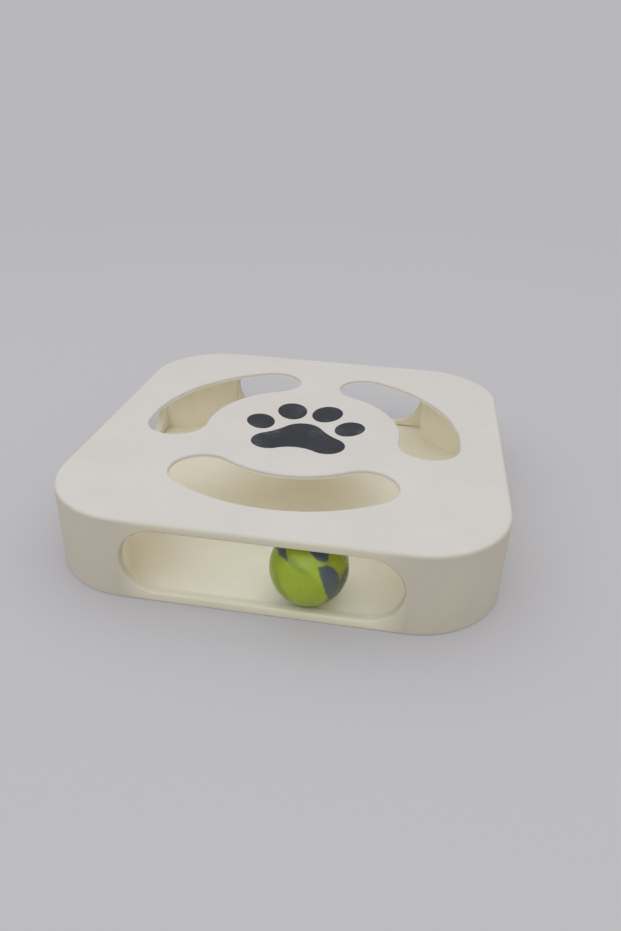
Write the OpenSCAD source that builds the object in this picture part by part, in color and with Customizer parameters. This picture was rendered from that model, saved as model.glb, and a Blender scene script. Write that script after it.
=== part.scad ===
// Cat puzzle ball: a low square case with a rubber ball loose inside it.
// The cat reaches the ball through three curved openings in the top and one
// window in each side. A base plate, screwed into the four corner posts,
// closes the case below and is the floor that the ball rolls on.
// X runs along the front window, Y to the back, Z up from the table.

/* [Ball] */
// Diameter of the ball
ball_d = 38; // [36:0.5:42]
// Place of the resting ball along the front window
ball_x = 21.5; // [-30:0.5:30]
// Gap kept between the ball and whatever it rests on
ball_gap = 0.3; // [0.2:0.05:0.5]
// Free height above the ball
head_room = 2.6; // [1.5:0.1:5]

/* [Case] */
// Side length of the square case
case_w = 230; // [215:1:280]
// Radius of the upright corners
corner_r = 46.5; // [36:0.5:52]
// Thickness of the side walls
wall_t = 5.5; // [4.5:0.5:8]
// Thickness of the top
top_t = 2.4; // [2.2:0.1:4]
// Rounding of the top rim
rim_r = 2; // [1:0.25:3]
// Chamfer round the foot
foot_c = 0.6; // [0.3:0.1:1]

/* [Corner posts] */
// Radius of the round inner face of a post
post_r = 39.5; // [34:0.5:44]
// Distance of the post's axis from the outer faces of its two walls
post_inset = 6.5; // [4:0.5:10]

/* [Windows] */
// How much lower a window is than the ball, so that it holds the ball in
window_hold = 3; // [2:0.25:6]
// Distance from the end of a window to the post beside it
window_margin = 0.7; // [0.5:0.1:6]
// Chamfer on the edges of the windows and the openings
edge_c = 0.8; // [0.4:0.1:1.4]

/* [Top openings] */
// How much narrower an opening is than the ball
opening_hold = 3.8; // [2:0.1:8]
// Radius of the openings' centre line
opening_r = 74; // [68:0.5:76]
// Angle from the middle of an opening to the centre of its round end
opening_half = 35.5; // [25:0.5:40]

/* [Base] */
// Thickness of the base plate
base_t = 2; // [1.8:0.1:4]
// Width of the case's foot that shows round the base plate
lip_w = 3; // [2:0.25:4]
// Clearance round the base plate
base_gap = 0.2; // [0.1:0.05:0.4]

/* [Screws] */
// Diameter of the shank
screw_d = 3; // [2.5:0.1:4]
// Length of the screw with its head
screw_len = 12; // [8:0.5:20]
// Diameter of the countersunk head
head_d = 5.6; // [5:0.1:7]
// Height of the countersunk head
head_h = 1.6; // [1.2:0.1:1.8]
// Width across the flats of the hexagonal socket
socket_w = 2; // [1.5:0.1:2.5]
// Depth of the socket
socket_h = 1.1; // [0.8:0.1:1.4]
// Clearance of the shank in the base plate, on the radius
hole_gap = 0.25; // [0.1:0.05:0.5]
// Clearance of the shank in its pilot hole, on the radius
pilot_gap = 0.05; // [0.02:0.01:0.1]

/* [Paw inlay] */
// Thickness of the inlays
inlay_t = 1.2; // [0.6:0.1:1.6]
// Clearance round each inlay
inlay_gap = 0.1; // [0.05:0.05:0.3]
// Place of the paw's centre line
paw_x = 0.6; // [-5:0.1:5]
// Width of an inner toe
inner_w = 17.6; // [12:0.2:19]
// Length of an inner toe
inner_l = 23.8; // [16:0.2:25]
// Distance of an inner toe's centre from the paw's centre line
inner_x = 10.8; // [10.5:0.1:12.5]
// Place of the inner toes along Y
inner_y = 22.2; // [21:0.2:25]
// Lean of an inner toe away from the centre line
inner_tilt = 13; // [4:1:18]
// Width of an outer toe
outer_w = 16; // [12:0.2:18]
// Length of an outer toe
outer_l = 20.8; // [14:0.2:22]
// Distance of an outer toe's centre from the paw's centre line
outer_x = 26.6; // [26:0.1:29]
// Place of the outer toes along Y
outer_y = 4.2; // [3:0.2:7]
// Lean of an outer toe away from the centre line
outer_tilt = 26; // [16:1:32]
// How much wider a toe is towards its tip, as a share of its width
toe_swell = 0.06; // [0:0.01:0.12]
// Radius of the crown of the main pad
crown_r = 12.2; // [9:0.2:13]
// Place of the crown's centre along Y
crown_y = -6; // [-8:0.2:-5]
// Radius of each lower lobe of the main pad
lobe_r = 10.2; // [8:0.2:11]
// Distance of a lobe's centre from the paw's centre line
lobe_x = 16.4; // [14:0.2:18]
// Place of the lobes' centres along Y
lobe_y = -19.6; // [-21:0.2:-17]
// Place of the notch between the lobes along Y
notch_y = -25; // [-27:0.2:-23]
// Radius of the hollow flank between crown and lobe
flank_r = 40; // [20:1:80]

/* [Hidden] */

$fn = 96;
// Overshoot of a cut past the face that it goes through
over = 0.5;
// Step between a curved opening and its round ends, too small to see
end_step = 0.02;
// Flats of a rounded rim in section, and points of a paw outline
rim_steps = 6;
toe_points = 56;
arc_points = 18;
// Rounds of the openings and the corners
OPENINGS = [-90, 30, 150];
QUARTERS = [0, 90, 180, 270];

ball_r = ball_d / 2;
inner_h = ball_d + head_room;
case_h = base_t + inner_h + top_t;
case_half = case_w / 2;
hall_half = case_half - wall_t;
post_pos = case_half - post_inset;
// Where the round face of a post meets the inner face of a wall
post_foot = post_pos - sqrt(post_r ^ 2 - (hall_half - post_pos) ^ 2);

window_r = (ball_d - window_hold) / 2;
window_z = base_t + inner_h / 2;
// Straight part of a window, each way from its middle, to a hundredth
window_run = round(100 * (post_foot - window_margin - edge_c - window_r)) / 100;
opening_w = (ball_d - opening_hold) / 2;

// Screws stand half way through the post, on the diagonal of the case
post_in = post_pos * sqrt(2) - post_r;
post_out = (case_half - corner_r) * sqrt(2) + corner_r;
screw_pos = (post_in + post_out) / 2 / sqrt(2);
pilot_len = screw_len - base_t + 1;
head_sink = 0.15;

// The resting ball leans on the chamfered inner edge of the front sill:
// on its lower line at the wall's face or on its upper line in the window
ball_z = base_t + ball_gap + ball_r;
sill_z = window_z - window_r;
function reach(edge_z) = sqrt((ball_r + ball_gap) ^ 2 - (ball_z - edge_z) ^ 2);
ball_y = -hall_half + max(reach(sill_z - edge_c), reach(sill_z) - edge_c);

function on_circle(c, r, a) = c + r * [cos(a), sin(a)];
function arc(c, r, a0, a1, n) = [for (i = [0:n]) on_circle(c, r, a0 + (a1 - a0) * i / n)];
function angle_to(a, b) = atan2(b[1] - a[1], b[0] - a[0]);
function flipped(pts) = [for (i = [len(pts) - 1:-1:0]) [-pts[i][0], pts[i][1]]];

// Half section of a block from its axis out to its side, with a chamfered
// foot and a rounded rim where these are given
function section(w, h, rim, foot) = concat(
    [[0, 0], [w - foot, 0]],
    foot > 0 ? [[w, foot]] : [],
    rim > 0 ? arc([w - rim, h - rim], rim, 0, 90, rim_steps) : [[w, h]],
    [[0, h]]);

// Square block with round upright corners, standing on Z = 0
module rounded_block(w, r, h, rim = 0, foot = 0) {
    side = section(w / 2, h, rim, foot);
    for (turn = [0, 90])
        rotate([90, 0, turn + 90])
            linear_extrude(w - 2 * r, center = true)
                polygon(concat(side, flipped(side)));
    for (turn = QUARTERS)
        rotate([0, 0, turn])
            translate([w / 2 - r, w / 2 - r, 0])
                rotate_extrude(angle = 90)
                    polygon(section(r, h, rim, foot));
}

// Hollow inside the case: a square hall with a round post in each corner
module hall() {
    translate([0, 0, -over])
        linear_extrude(base_t + inner_h + over)
            difference() {
                square(2 * hall_half, center = true);
                for (turn = QUARTERS)
                    rotate(turn)
                        translate([post_pos, post_pos])
                            circle(post_r);
            }
}

// Half section of a window: depth from the wall's inner face outwards,
// flared at both faces
function window_section() = let (flare = edge_c + over) [
    [0, -over], [window_r + flare, -over], [window_r, edge_c],
    [window_r, wall_t - edge_c], [window_r + flare, wall_t + over],
    [0, wall_t + over]];

// Window through the front wall: a straight run between two round ends
module window() {
    half = window_section();
    translate([0, -hall_half, window_z])
        rotate([90, 0, 0]) {
            rotate([90, 0, 90])
                linear_extrude(2 * window_run, center = true)
                    polygon(concat(half, flipped(half)));
            for (end = [-1, 1])
                translate([end * window_run, 0, 0])
                    rotate([0, 0, -90 * end])
                        rotate_extrude(angle = 180)
                            polygon(half);
        }
}

// Half section of a top opening of half width w, flared at the top
function opening_section(w) = [
    [0, case_h - top_t - over], [w, case_h - top_t - over],
    [w, case_h - edge_c], [w + edge_c + over, case_h + over],
    [0, case_h + over]];

// Curved opening through the top, with round ends
module opening() {
    half = opening_section(opening_w);
    rotate([0, 0, -opening_half])
        rotate_extrude(angle = 2 * opening_half)
            translate([opening_r, 0])
                polygon(concat(half, flipped(half)));
    for (end = [-1, 1])
        rotate([0, 0, end * opening_half])
            translate([opening_r, 0, 0])
                rotate_extrude()
                    polygon(opening_section(opening_w - end_step));
}

// Egg-shaped toe about its own centre, larger all round by grow
module toe_shape(w, l, grow) {
    polygon([for (i = [0:toe_points - 1])
        let (a = 360 * i / toe_points)
        [(w / 2 + grow) * cos(a) * (1 + toe_swell * sin(a)), (l / 2 + grow) * sin(a)]]);
}

module inner_toe(side, grow) {
    translate([paw_x + side * inner_x, inner_y])
        rotate(-side * inner_tilt)
            toe_shape(inner_w, inner_l, grow);
}

module outer_toe(side, grow) {
    translate([paw_x + side * outer_x, outer_y])
        rotate(-side * outer_tilt)
            toe_shape(outer_w, outer_l, grow);
}

// Right half of the main pad's outline, from the notch up to the crown,
// made of four arcs that run into one another
function pad_half(grow) =
    let (
        crown = [0, crown_y],
        lobe = [lobe_x, lobe_y],
        drop = lobe_y - notch_y,
        notch_r = (lobe_x ^ 2 + drop ^ 2 - lobe_r ^ 2) / 2 / (lobe_r - drop),
        notch = [0, notch_y - notch_r],
        span = norm(lobe - crown),
        along = (lobe - crown) / span,
        run = (span ^ 2 + (crown_r + flank_r) ^ 2 - (lobe_r + flank_r) ^ 2) / 2 / span,
        rise = sqrt((crown_r + flank_r) ^ 2 - run ^ 2),
        flank = crown + run * along + rise * [-along[1], along[0]])
    concat(
        arc(notch, notch_r - grow, 90, angle_to(notch, lobe), arc_points),
        arc(lobe, lobe_r + grow, angle_to(lobe, notch), angle_to(lobe, flank), 2 * arc_points),
        arc(flank, flank_r - grow, angle_to(flank, lobe), angle_to(flank, crown), arc_points),
        arc(crown, crown_r + grow, angle_to(crown, flank), 90, arc_points));

module pad_shape(grow) {
    half = pad_half(grow);
    last = len(half) - 1;
    translate([paw_x, 0])
        polygon(concat(half, flipped([for (i = [1:last - 1]) half[i]])));
}

// Inlay flush with the top of the case, or the recess that it lies in
module in_top(depth) {
    translate([0, 0, case_h - inlay_t])
        linear_extrude(depth)
            children();
}

module paw_recess() {
    in_top(inlay_t + over) {
        pad_shape(inlay_gap);
        for (side = [-1, 1]) {
            inner_toe(side, inlay_gap);
            outer_toe(side, inlay_gap);
        }
    }
}

module at_screws() {
    for (turn = QUARTERS)
        rotate([0, 0, turn])
            translate([screw_pos, screw_pos, 0])
                children();
}

module housing() {
    color([0.93, 0.91, 0.86])
        difference() {
            rounded_block(case_w, corner_r, case_h, rim_r, foot_c);
            hall();
            translate([0, 0, -over])
                rounded_block(case_w - 2 * lip_w, corner_r - lip_w, base_t + over);
            for (turn = QUARTERS)
                rotate([0, 0, turn])
                    window();
            for (turn = OPENINGS)
                rotate([0, 0, turn])
                    opening();
            paw_recess();
            at_screws()
                translate([0, 0, base_t - over])
                    cylinder(h = pilot_len + over, d = screw_d + 2 * pilot_gap);
        }
}

module base_plate() {
    shrink = lip_w + base_gap;
    sink = head_h + head_sink;
    color([0.90, 0.87, 0.80])
        difference() {
            rounded_block(case_w - 2 * shrink, corner_r - shrink, base_t);
            at_screws() {
                translate([0, 0, -over])
                    cylinder(h = base_t + 2 * over, d = screw_d + 2 * hole_gap);
                cylinder(h = sink, d1 = head_d + 2 * hole_gap + 2 * head_sink,
                         d2 = screw_d + 2 * hole_gap);
            }
        }
}

module paw_pad() {
    color([0.20, 0.20, 0.22])
        in_top(inlay_t)
            pad_shape(0);
}

module toe_outer_left() {
    color([0.20, 0.20, 0.22])
        in_top(inlay_t)
            outer_toe(-1, 0);
}

module toe_inner_left() {
    color([0.20, 0.20, 0.22])
        in_top(inlay_t)
            inner_toe(-1, 0);
}

module toe_inner_right() {
    color([0.20, 0.20, 0.22])
        in_top(inlay_t)
            inner_toe(1, 0);
}

module toe_outer_right() {
    color([0.20, 0.20, 0.22])
        in_top(inlay_t)
            outer_toe(1, 0);
}

module ball() {
    color([0.55, 0.62, 0.08])
        translate([ball_x, ball_y, ball_z])
            sphere(d = ball_d);
}

module base_screws() {
    color([0.62, 0.62, 0.60])
        at_screws()
            translate([0, 0, head_sink])
                difference() {
                    union() {
                        cylinder(h = head_h, d1 = head_d, d2 = screw_d);
                        cylinder(h = screw_len, d = screw_d);
                    }
                    translate([0, 0, -over])
                        cylinder(h = socket_h + over, d = socket_w / cos(30), $fn = 6);
                }
}

housing();
base_plate();
paw_pad();
toe_outer_left();
toe_inner_left();
toe_inner_right();
toe_outer_right();
ball();
base_screws();
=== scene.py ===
"""Cat puzzle ball: an ivory case with a charcoal paw inlay and a marbled rubber ball."""

from math import radians

import bmesh
import bpy
from mathutils import Matrix, Vector


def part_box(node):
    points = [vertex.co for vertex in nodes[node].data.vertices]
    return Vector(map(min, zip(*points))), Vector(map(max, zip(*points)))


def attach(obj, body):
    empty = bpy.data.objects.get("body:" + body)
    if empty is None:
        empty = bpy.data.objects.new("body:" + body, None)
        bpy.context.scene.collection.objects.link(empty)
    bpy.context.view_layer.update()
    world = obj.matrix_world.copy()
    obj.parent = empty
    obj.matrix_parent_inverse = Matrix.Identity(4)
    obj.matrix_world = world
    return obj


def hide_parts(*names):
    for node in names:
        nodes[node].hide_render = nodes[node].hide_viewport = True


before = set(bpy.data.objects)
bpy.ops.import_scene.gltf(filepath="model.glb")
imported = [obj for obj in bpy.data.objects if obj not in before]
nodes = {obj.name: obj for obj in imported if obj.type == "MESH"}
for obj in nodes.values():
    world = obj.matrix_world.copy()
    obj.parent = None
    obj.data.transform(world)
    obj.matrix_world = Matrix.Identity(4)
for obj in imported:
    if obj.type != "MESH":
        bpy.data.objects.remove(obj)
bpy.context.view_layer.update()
scene = bpy.context.scene
MM = 0.001

# Camera: its place in metres, its turn, dip and roll in degrees, and its lens in millimetres
CAMERA_PLACE = Vector((0.06149, -0.36921, 0.22344))
CAMERA_TURN = 8.65
CAMERA_DIP = 28.53
CAMERA_ROLL = 1.86
CAMERA_LENS = 27.28
CAMERA_SENSOR = 36.0

# Room, in metres, watts and degrees: the background's tint, the sky, the lamp overhead, the
# lamp in front, and the floor's radius with the width of its outer ring
BACKDROP = (0.480, 0.470, 0.497, 1.0)
SKY_TINT = (1.0, 0.965, 0.84, 1.0)
SKY_STRENGTH = 0.64
OVERHEAD_POWER = 1.72
OVERHEAD_SPREAD = 115.0
OVERHEAD_TINT = (0.64, 0.79, 1.0)
OVERHEAD_FROM = Vector((-0.1, -0.05, 1.0))
FRONT_POWER = 0.32
FRONT_SIZE = 0.25
FRONT_PLACE = Vector((0.03, -0.85, 0.5))
FRONT_AIM = Vector((0.0, -0.1, 0.02))
FLOOR_R = 14.0
FLOOR_BORDER = 11.0
# Distance from the middle over which the floor passes into the background, and the
# background's share where it starts
FLOOR_FADE = (0.2, 1.3)
FLOOR_FADE_START = 0.2

# Case: half its width, the radius of its upright corners, how far out their axes stand, the
# height of the floor inside, a height just under its top plate, and a radius round the paw's
# pockets that all openings lie outside of
CASE_HALF = 115.0 * MM
CORNER_R = 46.5 * MM
CORNER_AT = CASE_HALF - CORNER_R
BASE_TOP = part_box("base_plate")[1][2]
UNDER_TOP = 42.5 * MM
PAW_REACH = 53.0 * MM

# How wide the square edges of each piece are rounded, the angle in degrees from which an
# edge counts as square, how near two points are to be one, and how near a point is to a
# plane to lie on it
CASE_ROUND = 0.3 * MM
BASE_ROUND = 0.1 * MM
SCREW_ROUND = 0.08 * MM
INLAY_ROUND = 0.2 * MM
SQUARE_FROM = 60.0
SAME_POINT = 0.002 * MM
ON_PLANE = 0.01 * MM
# The paw: one pad and four toes
INLAYS = ("paw_pad", "toe_outer_left", "toe_inner_left", "toe_inner_right", "toe_outer_right")

# Ball: its middle and radius, and the directions near, right and up that lay out its
# marbling as it shows at the front window
ball_low, ball_high = (Vector(c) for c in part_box("ball"))
BALL_MIDDLE = (ball_low + ball_high) / 2.0
BALL_R = (ball_high.z - ball_low.z) / 2.0
NEAR = (CAMERA_PLACE - BALL_MIDDLE).normalized()
LEVEL = Vector((0.0, 0.0, 1.0)).cross(NEAR).normalized()
RIGHT = Matrix.Rotation(radians(CAMERA_ROLL), 3, NEAR) @ LEVEL
UP = NEAR.cross(RIGHT)
# Its parting line: half its width, how far it swells, and its tilt in degrees
LINE_HALF = 0.16 * MM
LINE_SWELL = 1.0015
LINE_TILT = 12.0

# Tints
FLOOR_TINTS = ((0.500, 0.466, 0.468, 1.0), (0.510, 0.475, 0.477, 1.0))
# Painted light on the case: a paler, cooler tint for the top, as lit from above, and a darker,
# warmer tint for the side walls as painted shade
IVORY_TOP_PAINTED_LIGHT = (0.625, 0.565, 0.515, 1.0)
IVORY_WALL_PAINTED_SHADE = (0.578, 0.527, 0.438, 1.0)
# Painted glow inside the case: a far paler, yellower tint standing in for light that comes through
# the plastic and bounces about inside
IVORY_INNER_PAINTED_GLOW = (0.92, 0.857, 0.712, 1.0)
# Painted glow on the narrow strips of wall beside the windows, paler and yellower, as light
# shining through them from inside
IVORY_CASE_PAINTED_GLOW = (0.735, 0.683, 0.532, 1.0)
IVORY_BASE_PAINTED_GLOW = (0.70, 0.645, 0.52, 1.0)
CHARCOALS = ((0.0140, 0.0150, 0.0172, 1.0), (0.026, 0.027, 0.0297, 1.0))
CHARCOAL_SMOKE = (0.066, 0.068, 0.072, 1.0)
CHARCOAL_SPECK = (0.055, 0.057, 0.062, 1.0)
ZINCS = ((0.50, 0.49, 0.46, 1.0), (0.66, 0.66, 0.64, 1.0))
GREENS = ((0.298, 0.385, 0.022, 1.0), (0.350, 0.455, 0.032, 1.0))
SLATES = ((0.072, 0.088, 0.108, 1.0), (0.098, 0.125, 0.112, 1.0))
OLIVE = (0.34, 0.365, 0.017, 1.0)
FAINT = (0.15, 0.185, 0.04, 1.0)
MURKY = (0.070, 0.076, 0.052, 1.0)

# Marbling: the dark patches, each with a turn round the ball from its near side and
# its corners to the right and up as parts of the radius, in clockwise order
PATCHES = [
    (0.0, [(0.21, -0.01), (0.50, 0.0), (0.72, -0.22), (0.71, -0.48), (0.64, -0.72),
           (0.47, -0.79), (0.38, -0.62)]),
    (0.0, [(-0.08, 0.62), (0.46, 0.62), (0.50, 0.40), (0.43, 0.11), (0.24, 0.11),
           (0.02, 0.32)]),
    (0.0, [(-0.85, 0.62), (-0.62, 0.62), (-0.48, 0.06), (-0.53, 0.08), (-0.80, 0.39)]),
    (110.0, [(-0.66, 0.30), (-0.30, 0.52), (0.30, 0.56), (0.42, 0.44), (0.10, 0.28),
             (-0.52, 0.18)]),
    (110.0, [(0.05, -0.10), (0.36, -0.24), (0.58, -0.62), (0.40, -0.74), (0.16, -0.50)]),
    (175.0, [(-0.16, 0.02), (0.06, 0.06), (0.16, -0.22), (0.02, -0.56)]),
    (235.0, [(-0.78, 0.10), (-0.40, 0.20), (0.05, 0.02), (0.22, -0.22), (0.08, -0.30),
             (-0.45, -0.10)]),
    (235.0, [(0.10, 0.74), (0.46, 0.66), (0.62, 0.30), (0.48, 0.26), (0.22, 0.52)]),
    (235.0, [(-0.10, -0.58), (0.30, -0.52), (0.56, -0.60), (0.30, -0.82), (0.02, -0.80)]),
]
# Smaller swirls: their place to the right and up (and near, on the far side), the turn
# of their length from level, and their half length and width
DARK_SWIRLS = [
    (0.89, -0.36, 68.0, 0.20, 0.09),
]
OLIVE_SWIRLS = [
    (0.74, 0.14, -70.0, 0.40, 0.30),
]
FAINT_SWIRLS = [
    (-0.38, 0.05, -45.0, 0.34, 0.08),
    (-0.19, -0.12, -30.0, 0.16, 0.07),
    (0.40, 0.10, -62.0, 0.24, 0.09),
    (-0.72, -0.52, -52.0, 0.45, 0.10),
    (-0.30, 0.30, -0.90, 40.0, 0.40, 0.09),
    (0.50, -0.10, -0.86, -50.0, 0.36, 0.10),
    (-0.75, -0.45, -0.48, 30.0, 0.34, 0.10),
    (0.05, 0.75, -0.66, 15.0, 0.45, 0.08),
    (-0.20, -0.60, -0.77, -35.0, 0.40, 0.09),
]
MURKY_SWIRLS = [
    (0.77, -0.58, 52.0, 0.46, 0.36),
    (0.90, -0.30, 72.0, 0.26, 0.30),
    (-0.55, 0.20, -0.81, -25.0, 0.30, 0.20),
]
# How far the marbling wanders, how softly the swirls join, and, as parts of the ball's
# radius, how far out the swirls lie, how thick they are, how round the patches' corners
# are and where their edges start and end
WANDER = 2.8 * MM
SWIRL_JOIN = 0.35
SWIRL_OUT = 0.97
SWIRL_THICK = 0.5
PATCH_ROUND = 0.06
PATCH_EDGE = (0.035, -0.025)


# Nodes

def add(tree, kind, **settings):
    node = tree.nodes.new(kind)
    for key, value in settings.items():
        setattr(node, key, value)
    return node


def feed(tree, value, socket):
    """Join an output to a socket, or set the socket to a plain value."""
    if isinstance(value, bpy.types.NodeSocket):
        tree.links.new(value, socket)
    else:
        socket.default_value = value


def link(tree, pairs):
    for start, end in pairs:
        tree.links.new(start, end)


def noise(tree, place, scale, detail, roughness=0.5):
    node = add(tree, "ShaderNodeTexNoise")
    for label, value in (("Vector", place), ("Scale", scale), ("Detail", detail),
                         ("Roughness", roughness)):
        feed(tree, value, node.inputs[label])
    return node


def ramp(tree, value, low, high, start=0.0, end=1.0):
    """A smooth passage from start, where the value is at low, to end, where it is at high."""
    node = add(tree, "ShaderNodeMapRange", interpolation_type="SMOOTHSTEP")
    for label, number in (("Value", value), ("From Min", low), ("From Max", high),
                          ("To Min", start), ("To Max", end)):
        feed(tree, number, node.inputs[label])
    return node.outputs["Result"]


def maths(tree, work, *values):
    node = add(tree, "ShaderNodeMath", operation=work)
    for value, socket in zip(values, node.inputs):
        feed(tree, value, socket)
    return node.outputs["Value"]


def vectors(tree, work, *values):
    node = add(tree, "ShaderNodeVectorMath", operation=work)
    for value, socket in zip(values, node.inputs):
        feed(tree, value, socket)
    return node.outputs["Value" if work in ("LENGTH", "DOT_PRODUCT") else "Vector"]


def blend(tree, mask, first, second):
    """One colour where the mask is 0 and another where it is 1."""
    node = add(tree, "ShaderNodeMix", data_type="RGBA")
    for place, value in ((0, mask), (6, first), (7, second)):
        feed(tree, value, node.inputs[place])
    return node.outputs[2]


def seen_directly(tree):
    """1 for a ray that shows the background: from the camera, or by way of gloss or glass."""
    ray = add(tree, "ShaderNodeLightPath").outputs
    return maths(tree, "MAXIMUM", ray["Is Camera Ray"],
                 maths(tree, "MAXIMUM", ray["Is Glossy Ray"], ray["Is Transmission Ray"]))


# Camera at the photograph's viewing angle

def place_camera():
    data = bpy.data.cameras.new("photo_view")
    data.sensor_width = CAMERA_SENSOR
    data.lens = CAMERA_LENS
    data.clip_start = 0.01
    camera = bpy.data.objects.new("photo_view", data)
    scene.collection.objects.link(camera)
    turn = (Matrix.Rotation(radians(CAMERA_TURN), 4, "Z")
            @ Matrix.Rotation(radians(90.0 - CAMERA_DIP), 4, "X")
            @ Matrix.Rotation(radians(CAMERA_ROLL), 4, "Z"))
    camera.matrix_world = Matrix.Translation(CAMERA_PLACE) @ turn
    scene.camera = camera


# Room: a pale floor under a warm, even sky, a cool soft lamp overhead and a weak one in front

def light_sky():
    world = bpy.data.worlds.new("soft_sky")
    scene.world = world
    world.use_nodes = True
    tree = world.node_tree
    sky = tree.nodes["Background"]
    sky.inputs["Color"].default_value = SKY_TINT
    sky.inputs["Strength"].default_value = SKY_STRENGTH
    paper = add(tree, "ShaderNodeBackground")
    paper.inputs["Color"].default_value = BACKDROP
    pick = add(tree, "ShaderNodeMixShader")
    link(tree, [(seen_directly(tree), pick.inputs["Fac"]),
                (sky.outputs["Background"], pick.inputs[1]),
                (paper.outputs["Background"], pick.inputs[2]),
                (pick.outputs["Shader"], tree.nodes["World Output"].inputs["Surface"])])


def hang_lamp(name, kind, place, back, **settings):
    """A lamp at a place, shining away from what is given as its back."""
    lamp = bpy.data.lights.new(name, kind)
    for key, value in settings.items():
        setattr(lamp, key, value)
    holder = bpy.data.objects.new(name, lamp)
    scene.collection.objects.link(holder)
    aim = back.to_track_quat("Z", "Y").to_matrix().to_4x4()
    holder.matrix_world = Matrix.Translation(place) @ aim


def light_room():
    scene.view_settings.view_transform = "Standard"
    light_sky()
    hang_lamp("overhead_lamp", "SUN", Vector(), OVERHEAD_FROM, energy=OVERHEAD_POWER,
              angle=radians(OVERHEAD_SPREAD), color=OVERHEAD_TINT)
    hang_lamp("front_lamp", "AREA", FRONT_PLACE, FRONT_PLACE - FRONT_AIM, energy=FRONT_POWER,
              size=FRONT_SIZE)


def lay_floor():
    bm = bmesh.new()
    bmesh.ops.create_circle(bm, cap_ends=True, segments=96, radius=FLOOR_R)
    bmesh.ops.inset_region(bm, faces=bm.faces[:], thickness=FLOOR_BORDER, depth=0.0)
    floor = as_object(bm, "pale_floor", floor_paper())


# Pieces

def as_object(bm, name, finish):
    mesh = bpy.data.meshes.new(name)
    bm.normal_update()
    bm.to_mesh(mesh)
    bm.free()
    for face in mesh.polygons:
        face.use_smooth = True
    mesh.materials.append(finish)
    piece = bpy.data.objects.new(name, mesh)
    scene.collection.objects.link(piece)
    return piece


def stays_square(edge):
    """True for an edge of the case that sits on the base plate or lies at an opening."""
    on_base = all(abs(v.co.z - BASE_TOP) < ON_PLANE for v in edge.verts)
    at_opening = all(v.co.z > UNDER_TOP and v.co.xy.length > PAW_REACH for v in edge.verts)
    return on_base or at_opening


def softened(name, node, width, finish):
    """A moulded piece: the node's shape with its square edges rounded off."""
    bm = bmesh.new()
    bm.from_mesh(nodes[node].data)
    bmesh.ops.remove_doubles(bm, verts=bm.verts[:], dist=SAME_POINT)
    square = [e for e in bm.edges
              if e.is_manifold and e.calc_face_angle() > radians(SQUARE_FROM)]
    left = {e for e in square if node == "housing" and stays_square(e)}
    for edge in left:
        edge.smooth = False
    bmesh.ops.bevel(bm, geom=[e for e in square if e not in left], offset=width,
                    offset_type="OFFSET", affect="EDGES", segments=2, profile=0.5, material=-1,
                    clamp_overlap=False, loop_slide=False)
    bmesh.ops.triangulate(bm, faces=[f for f in bm.faces if len(f.verts) > 4])
    piece = as_object(bm, name, finish)
    even = piece.modifiers.new("even_normals", "WEIGHTED_NORMAL")
    even.weight = 60
    even.keep_sharp = True
    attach(piece, "case")
    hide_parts(node)


def make_ball(finish):
    """A moulded rubber ball: two halves that meet in a low parting line."""
    bm = bmesh.new()
    bmesh.ops.create_uvsphere(bm, u_segments=144, v_segments=72, radius=BALL_R)
    belt = [e for e in bm.edges if all(abs(v.co.z) < ON_PLANE for v in e.verts)]
    bmesh.ops.bevel(bm, geom=belt, offset=LINE_HALF, offset_type="OFFSET", affect="EDGES",
                    segments=2, profile=0.5, material=-1)
    ridge = [v for v in bm.verts if abs(v.co.z) < ON_PLANE]
    bmesh.ops.scale(bm, vec=(LINE_SWELL, LINE_SWELL, 1.0), verts=ridge)
    stand = NEAR.to_track_quat("Z", "Y").to_matrix() @ Matrix.Rotation(radians(LINE_TILT), 3, "X")
    bmesh.ops.rotate(bm, cent=(0.0, 0.0, 0.0), matrix=stand, verts=bm.verts[:])
    bmesh.ops.translate(bm, vec=BALL_MIDDLE, verts=bm.verts[:])
    ball = as_object(bm, "marbled_ball", finish)
    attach(ball, "ball")
    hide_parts("ball")


# Shared surface effect

def new_group(name, ins, outs):
    tree = bpy.data.node_groups.new(name, "ShaderNodeTree")
    for label, kind, value in ins:
        socket = tree.interface.new_socket(label, in_out="INPUT", socket_type=kind)
        socket.default_value = value
    for label, kind in outs:
        tree.interface.new_socket(label, in_out="OUTPUT", socket_type=kind)
    return tree, tree.nodes.new("NodeGroupInput").outputs, tree.nodes.new("NodeGroupOutput").inputs


def moulded_grain():
    """Fine spark-eroded grain, slow unevenness and faint scuffs of a moulded face."""
    tree, given, made = new_group(
        "moulded_grain",
        [("Place", "NodeSocketVector", (0.0, 0.0, 0.0)), ("Grain", "NodeSocketFloat", 1800.0),
         ("Gloss", "NodeSocketFloat", 0.45), ("Spread", "NodeSocketFloat", 0.08)],
        [("Height", "NodeSocketFloat"), ("Tone", "NodeSocketFloat"),
         ("Roughness", "NodeSocketFloat")])
    fine = noise(tree, given["Place"], given["Grain"], detail=3.0).outputs["Fac"]
    slow = noise(tree, given["Place"], 28.0, detail=3.0, roughness=0.55).outputs["Fac"]
    patchy = noise(tree, given["Place"], 140.0, detail=2.0, roughness=0.6).outputs["Fac"]
    tone = maths(tree, "ADD", maths(tree, "MULTIPLY", slow, 0.7),
                 maths(tree, "MULTIPLY", patchy, 0.3))
    swing, speck = (maths(tree, "MULTIPLY", maths(tree, "SUBTRACT", value, 0.5), given["Spread"])
                    for value in (tone, fine))
    link(tree, [
        (maths(tree, "ADD", fine, maths(tree, "MULTIPLY", slow, 1.5)), made["Height"]),
        (ramp(tree, tone, 0.3, 0.7), made["Tone"]),
        (maths(tree, "ADD", given["Gloss"], maths(tree, "ADD", swing, speck)),
         made["Roughness"]),
    ])
    return tree


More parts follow.
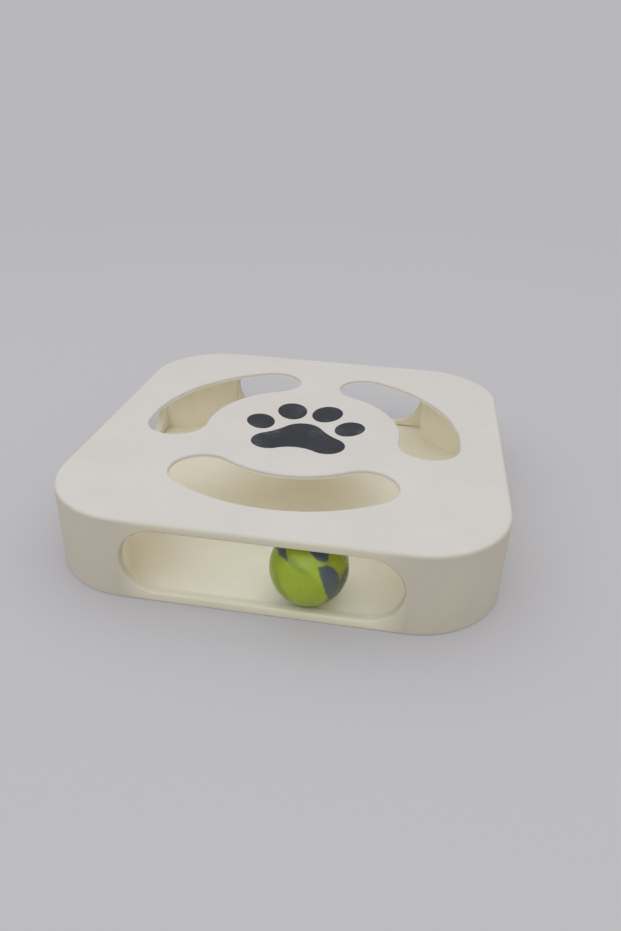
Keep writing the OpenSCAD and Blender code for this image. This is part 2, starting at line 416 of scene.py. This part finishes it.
def place_grain(tree, coords, grain, gloss, spread):
    node = add(tree, "ShaderNodeGroup", node_tree=GRAIN)
    for label, value in (("Place", coords), ("Grain", grain), ("Gloss", gloss),
                         ("Spread", spread)):
        feed(tree, value, node.inputs[label])
    return node.outputs


# Finishes

def new_finish(name):
    mat = bpy.data.materials.new(name)
    mat.use_nodes = True
    tree = mat.node_tree
    coords = add(tree, "ShaderNodeTexCoord").outputs["Object"]
    return mat, tree, tree.nodes["Principled BSDF"], coords


def emboss(tree, height, skin, depth, strength):
    bump = add(tree, "ShaderNodeBump")
    bump.inputs["Strength"].default_value = strength
    bump.inputs["Distance"].default_value = depth
    link(tree, [(height, bump.inputs["Height"]),
                (bump.outputs["Normal"], skin.inputs["Normal"])])


def dress(tree, skin, colour, grain, depth, strength):
    """Give a moulded finish its colour, and its gloss and relief from the grain."""
    link(tree, [(colour, skin.inputs["Base Color"]),
                (grain["Roughness"], skin.inputs["Roughness"])])
    emboss(tree, grain["Height"], skin, depth, strength)


def floor_paper():
    """Pale paper that passes into the plain background away from the case."""
    mat, tree, skin, coords = new_finish("floor_paper")
    fibre = noise(tree, coords, 420.0, detail=4.0, roughness=0.6).outputs["Fac"]
    cloud = noise(tree, coords, 2.2, detail=2.0).outputs["Fac"]
    shade = maths(tree, "ADD", maths(tree, "MULTIPLY", fibre, 0.35),
                  maths(tree, "MULTIPLY", cloud, 0.65))
    link(tree, [(blend(tree, ramp(tree, shade, 0.3, 0.7), *FLOOR_TINTS),
                 skin.inputs["Base Color"]),
                (ramp(tree, fibre, 0.3, 0.7, start=0.5, end=0.62), skin.inputs["Roughness"])])
    skin.inputs["Specular IOR Level"].default_value = 0.1
    emboss(tree, fibre, skin, depth=0.05 * MM, strength=0.4)
    plain = add(tree, "ShaderNodeEmission")
    plain.inputs["Color"].default_value = BACKDROP
    far = ramp(tree, vectors(tree, "LENGTH", coords), *FLOOR_FADE, start=FLOOR_FADE_START)
    fade = add(tree, "ShaderNodeMixShader")
    link(tree, [(maths(tree, "MULTIPLY", far, seen_directly(tree)), fade.inputs["Fac"]),
                (skin.outputs["BSDF"], fade.inputs[1]),
                (plain.outputs["Emission"], fade.inputs[2]),
                (fade.outputs["Shader"], tree.nodes["Material Output"].inputs["Surface"])])
    return mat


def painted_light_zones(tree, coords):
    """Masks for the case's painted light: the space inside, the side walls, and the narrow strips
    beside the windows.
    """
    height = add(tree, "ShaderNodeSeparateXYZ")
    sides = add(tree, "ShaderNodeSeparateXYZ")
    folded = vectors(tree, "ABSOLUTE", coords)
    link(tree, [(coords, height.inputs["Vector"]), (folded, sides.inputs["Vector"])])
    z = height.outputs["Z"]
    # Distance out from the axes of the corners: the corner radius on the outer face all round
    past = vectors(tree, "SUBTRACT", folded, (CORNER_AT, CORNER_AT, 1.0))
    out = vectors(tree, "LENGTH", vectors(tree, "MAXIMUM", past, (0.0, 0.0, 0.0)))
    # Painted glow: the space inside, under the top plate and behind the walls, takes the pale
    # inner tint
    below_top = ramp(tree, z, 43.6 * MM, UNDER_TOP)
    above_foot = ramp(tree, z, 0.4 * MM, 1.4 * MM)
    behind_wall = ramp(tree, out, CORNER_R - 3.0 * MM, CORNER_R - 5.8 * MM)
    hollow_glow_mask = maths(tree, "MULTIPLY", maths(tree, "MULTIPLY", below_top, above_foot), behind_wall)
    # Painted shade: the side walls below the rim take the darker, warmer tint
    below_rim = ramp(tree, z, 44.95 * MM, 43.4 * MM)
    in_wall = ramp(tree, out, CORNER_R - 9.0 * MM, CORNER_R - 4.0 * MM)
    wall_shade_mask = maths(tree, "MULTIPLY", below_rim, in_wall)
    # Painted glow: the strips of wall beside the windows, strongest low down and fading upwards
    along = maths(tree, "MINIMUM", sides.outputs["X"], sides.outputs["Y"])
    by_window = ramp(tree, along, 72.0 * MM, 52.0 * MM)
    fading_up = ramp(tree, z, 10.0 * MM, 36.0 * MM, start=1.0, end=0.62)
    strip_glow_mask = maths(tree, "MULTIPLY", wall_shade_mask, maths(tree, "MULTIPLY", by_window, fading_up))
    return hollow_glow_mask, wall_shade_mask, strip_glow_mask


def ivory_with_painted_light(name, painted_glow_tint):
    """Ivory plastic with painted light: a paler, cooler top, darker and warmer side walls as
    painted shade, and painted glow on the strips beside the windows and inside.
    """
    mat, tree, skin, coords = new_finish(name)
    grain = place_grain(tree, coords, grain=2200.0, gloss=0.46, spread=0.10)
    hollow_glow_mask, wall_shade_mask, strip_glow_mask = painted_light_zones(tree, coords)
    # Painted light: the top and side walls tinted apart, then painted glow on the window strips
    # and inside
    tint = blend(tree, wall_shade_mask, IVORY_TOP_PAINTED_LIGHT, IVORY_WALL_PAINTED_SHADE)
    tint = blend(tree, strip_glow_mask, tint, painted_glow_tint)
    tint = blend(tree, hollow_glow_mask, tint, IVORY_INNER_PAINTED_GLOW)
    worn = add(tree, "ShaderNodeHueSaturation")
    link(tree, [(tint, worn.inputs["Color"]),
                (ramp(tree, grain["Tone"], 0.0, 1.0, start=0.98, end=1.015),
                 worn.inputs["Value"])])
    skin.inputs["Specular IOR Level"].default_value = 0.4
    dress(tree, skin, worn.outputs["Color"], grain, depth=0.03 * MM, strength=0.5)
    return mat


def charcoal_plastic():
    """Charcoal plastic with pale smoky clouds and specks."""
    mat, tree, skin, coords = new_finish("paw_charcoal")
    grain = place_grain(tree, coords, grain=2600.0, gloss=0.55, spread=0.16)
    speck = noise(tree, coords, 900.0, detail=3.0, roughness=0.7).outputs["Fac"]
    smoke = noise(tree, coords, 62.0, detail=5.0, roughness=0.66).outputs["Fac"]
    tint = blend(tree, grain["Tone"], *CHARCOALS)
    tint = blend(tree, ramp(tree, smoke, 0.48, 0.70, end=0.75), tint, CHARCOAL_SMOKE)
    tint = blend(tree, ramp(tree, speck, 0.62, 0.75, end=0.5), tint, CHARCOAL_SPECK)
    skin.inputs["Specular IOR Level"].default_value = 0.3
    dress(tree, skin, tint, grain, depth=0.04 * MM, strength=0.6)
    return mat


def zinc_steel():
    """Zinc-plated steel, duller in patches."""
    mat, tree, skin, coords = new_finish("screw_zinc")
    skin.inputs["Metallic"].default_value = 1.0
    grain = place_grain(tree, coords, grain=3000.0, gloss=0.36, spread=0.2)
    tint = blend(tree, grain["Tone"], *ZINCS)
    dress(tree, skin, tint, grain, depth=0.02 * MM, strength=0.5)
    return mat


def patch(tree, place, turn, corners):
    """Mask of a patch with straight sides on the half of the ball that faces the turn."""
    spin = Matrix.Rotation(radians(turn), 3, UP)
    right = spin @ RIGHT
    cuts = [(-(spin @ NEAR), 0.0)]
    for (x0, y0), (x1, y1) in zip(corners, corners[1:] + corners[:1]):
        out = (right * (y0 - y1) + UP * (x1 - x0)).normalized()
        cuts.append((out, out.dot(right * x0 + UP * y0)))
    total = None
    for out, far in cuts:
        past = maths(tree, "SUBTRACT", vectors(tree, "DOT_PRODUCT", place, out / BALL_R), far)
        total = past if total is None else maths(tree, "SMOOTH_MAX", total, past, PATCH_ROUND)
    return ramp(tree, total, *PATCH_EDGE)


def swirl(tree, coords, right, up, near, turn, length, width):
    """How far a point lies from the middle of one swirl: 1 on its rim."""
    spot = (RIGHT * right + UP * up + NEAR * near).normalized()
    level = (RIGHT - spot * RIGHT.dot(spot)).normalized()
    along = Matrix.Rotation(radians(turn), 3, spot) @ level
    axes = Matrix((along, spot.cross(along), spot)).transposed()
    lay = add(tree, "ShaderNodeMapping", vector_type="TEXTURE")
    for label, value in (("Vector", coords),
                         ("Location", BALL_MIDDLE + spot * BALL_R * SWIRL_OUT),
                         ("Rotation", axes.to_euler()),
                         ("Scale", Vector((length, width, SWIRL_THICK)) * BALL_R)):
        feed(tree, value, lay.inputs[label])
    return vectors(tree, "LENGTH", lay.outputs["Vector"])


def swirls(tree, coords, places, soft):
    """Mask of swirls that flow into one another, with edges as soft as asked."""
    total = None
    for place in places:
        right, up, turn, length, width = place[:2] + place[-3:]
        near = place[2] if len(place) == 6 else (1.0 - right * right - up * up) ** 0.5
        reach = swirl(tree, coords, right, up, near, turn, length, width)
        total = reach if total is None else maths(tree, "SMOOTH_MIN", total, reach, SWIRL_JOIN)
    return ramp(tree, total, 1.0 + soft, 1.0 - soft)


def marbled_rubber():
    """Yellow-green rubber with slate patches and fainter swirls that wander a little."""
    mat, tree, skin, coords = new_finish("ball_marbled_rubber")
    grain = place_grain(tree, coords, grain=1500.0, gloss=0.27, spread=0.12)
    drift = noise(tree, coords, 190.0, detail=5.0, roughness=0.62).outputs["Color"]
    centred = vectors(tree, "SUBTRACT", drift, (0.5, 0.5, 0.5))
    bent = vectors(tree, "MULTIPLY_ADD", centred, (WANDER, WANDER, WANDER), coords)
    from_middle = vectors(tree, "SUBTRACT", bent, BALL_MIDDLE)
    cloud = noise(tree, bent, 95.0, detail=3.0, roughness=0.6).outputs["Fac"]
    tint = blend(tree, ramp(tree, cloud, 0.35, 0.68), *GREENS)
    for places, soft, share, colour in ((OLIVE_SWIRLS, 0.3, 0.7, OLIVE),
                                        (FAINT_SWIRLS, 0.6, 0.42, FAINT),
                                        (MURKY_SWIRLS, 0.5, 0.93, MURKY)):
        mask = maths(tree, "MULTIPLY", swirls(tree, bent, places, soft), share)
        tint = blend(tree, mask, tint, colour)
    dark = swirls(tree, bent, DARK_SWIRLS, 0.12)
    for turn, corners in PATCHES:
        dark = maths(tree, "MAXIMUM", dark, patch(tree, from_middle, turn, corners))
    slate = blend(tree, ramp(tree, cloud, 0.4, 0.6), *SLATES)
    tint = blend(tree, dark, tint, slate)
    skin.inputs["Specular IOR Level"].default_value = 0.4
    dress(tree, skin, tint, grain, depth=0.03 * MM, strength=0.4)
    return mat


# Making it

GRAIN = moulded_grain()
place_camera()
light_room()
lay_floor()

case_ivory = ivory_with_painted_light("case_ivory", IVORY_CASE_PAINTED_GLOW)
base_ivory = ivory_with_painted_light("base_ivory", IVORY_BASE_PAINTED_GLOW)
paw_charcoal = charcoal_plastic()
softened("case_shell", "housing", CASE_ROUND, case_ivory)
softened("base_panel", "base_plate", BASE_ROUND, base_ivory)
softened("screws_in_base", "base_screws", SCREW_ROUND, zinc_steel())
for inlay in INLAYS:
    softened(inlay + "_inlay", inlay, INLAY_ROUND, paw_charcoal)
make_ball(marbled_rubber())
